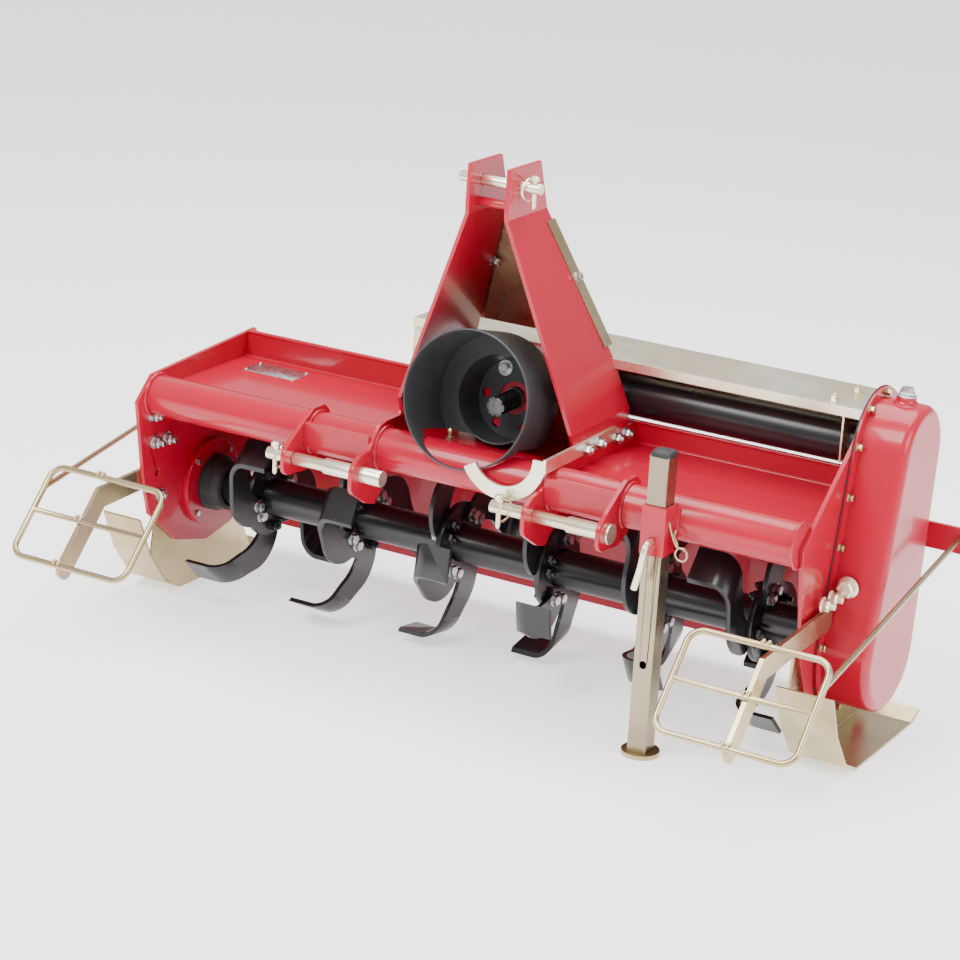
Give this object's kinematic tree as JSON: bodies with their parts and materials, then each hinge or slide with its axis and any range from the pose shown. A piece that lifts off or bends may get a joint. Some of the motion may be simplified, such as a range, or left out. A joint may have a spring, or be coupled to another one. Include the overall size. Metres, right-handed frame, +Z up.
{
  "type": "rotary tiller",
  "caption": "Tractor-mounted rotary tiller: hooded tined rotor, chain case, gearbox with shielded input shaft, three-point mast, skids, side guards and parking stand.",
  "frame": {"origin": "bottom centre of the bounding box, on the floor it parks on", "axes": "+X along the rotor towards the chain case, +Y away from the tractor, +Z up"},
  "size_m": [1.562, 0.7074, 0.935],
  "materials": {
    "red_paint": "gloss",
    "yellow_zinc": "satin",
    "black_paint": "gloss",
    "dark_plastic": "matte",
    "bare_steel": "satin"
  },
  "bodies": {
    "frame": {"front_beam": "red_paint", "side_plate_left": "red_paint", "side_plate_right": "red_paint", "hood_deck": "red_paint", "rear_wall_left": "red_paint", "rear_wall_right": "red_paint", "hinge_rod": "yellow_zinc", "hitch_plate_inner_left": "red_paint", "hitch_plate_outer_left": "red_paint", "hitch_web_left": "red_paint", "hitch_plate_inner_right": "red_paint", "hitch_plate_outer_right": "red_paint", "hitch_web_right": "red_paint", "lower_pin_left": "yellow_zinc", "lower_pin_right": "yellow_zinc", "mast_plate_left": "red_paint", "mast_plate_right": "red_paint", "top_link_pin": "yellow_zinc", "mast_spacer": "yellow_zinc", "gearbox": "red_paint", "drive_tube": "black_paint", "drive_cover": "yellow_zinc", "pto_guard": "dark_plastic", "chain_case": "red_paint", "filler_plug": "bare_steel", "bearing_left": "red_paint", "skid_left": "yellow_zinc", "skid_right": "yellow_zinc", "rail_bracket_left": "red_paint", "guard_left": "yellow_zinc", "guard_arm_left": "yellow_zinc", "rail_bracket_right": "red_paint", "guard_right": "yellow_zinc", "guard_arm_right": "yellow_zinc", "stand_sleeve": "red_paint", "pto_rest": "yellow_zinc", "mast_back_sheet": "yellow_zinc"},
    "rotor": {"rotor_tube": "black_paint", "tines_1": "black_paint", "tines_2": "black_paint", "tines_3": "black_paint", "tines_4": "black_paint", "tines_5": "black_paint", "tines_6": "black_paint"},
    "pto": {"pto_shaft": "bare_steel"},
    "tail": {"tailboard": "red_paint"},
    "stand": {"stand_leg": "yellow_zinc", "stand_foot": "yellow_zinc"}
  },
  "joints": [
    {"name": "rotor_spin", "type": "hinge", "parent": "frame", "child": "rotor", "pos_m": [-0.01, 0.09775, 0.2], "axis": [1, 0, 0], "continuous": true},
    {"name": "pto_spin", "type": "hinge", "parent": "frame", "child": "pto", "pos_m": [0.005, 0.09775, 0.497], "axis": [0, 1, 0], "continuous": true},
    {"name": "tailboard_hinge", "type": "hinge", "parent": "frame", "child": "tail", "pos_m": [-0.01, 0.33575, 0.262], "axis": [1, 0, 0], "range_deg": [0, 70]},
    {"name": "stand_slide", "type": "slide", "parent": "frame", "child": "stand", "axis": [0, 0, 1], "range_m": [0, 0.22]}
  ],
  "couplings": [
    {"joint": "pto_spin", "follows": "rotor_spin", "ratio": 2.68}
  ]
}
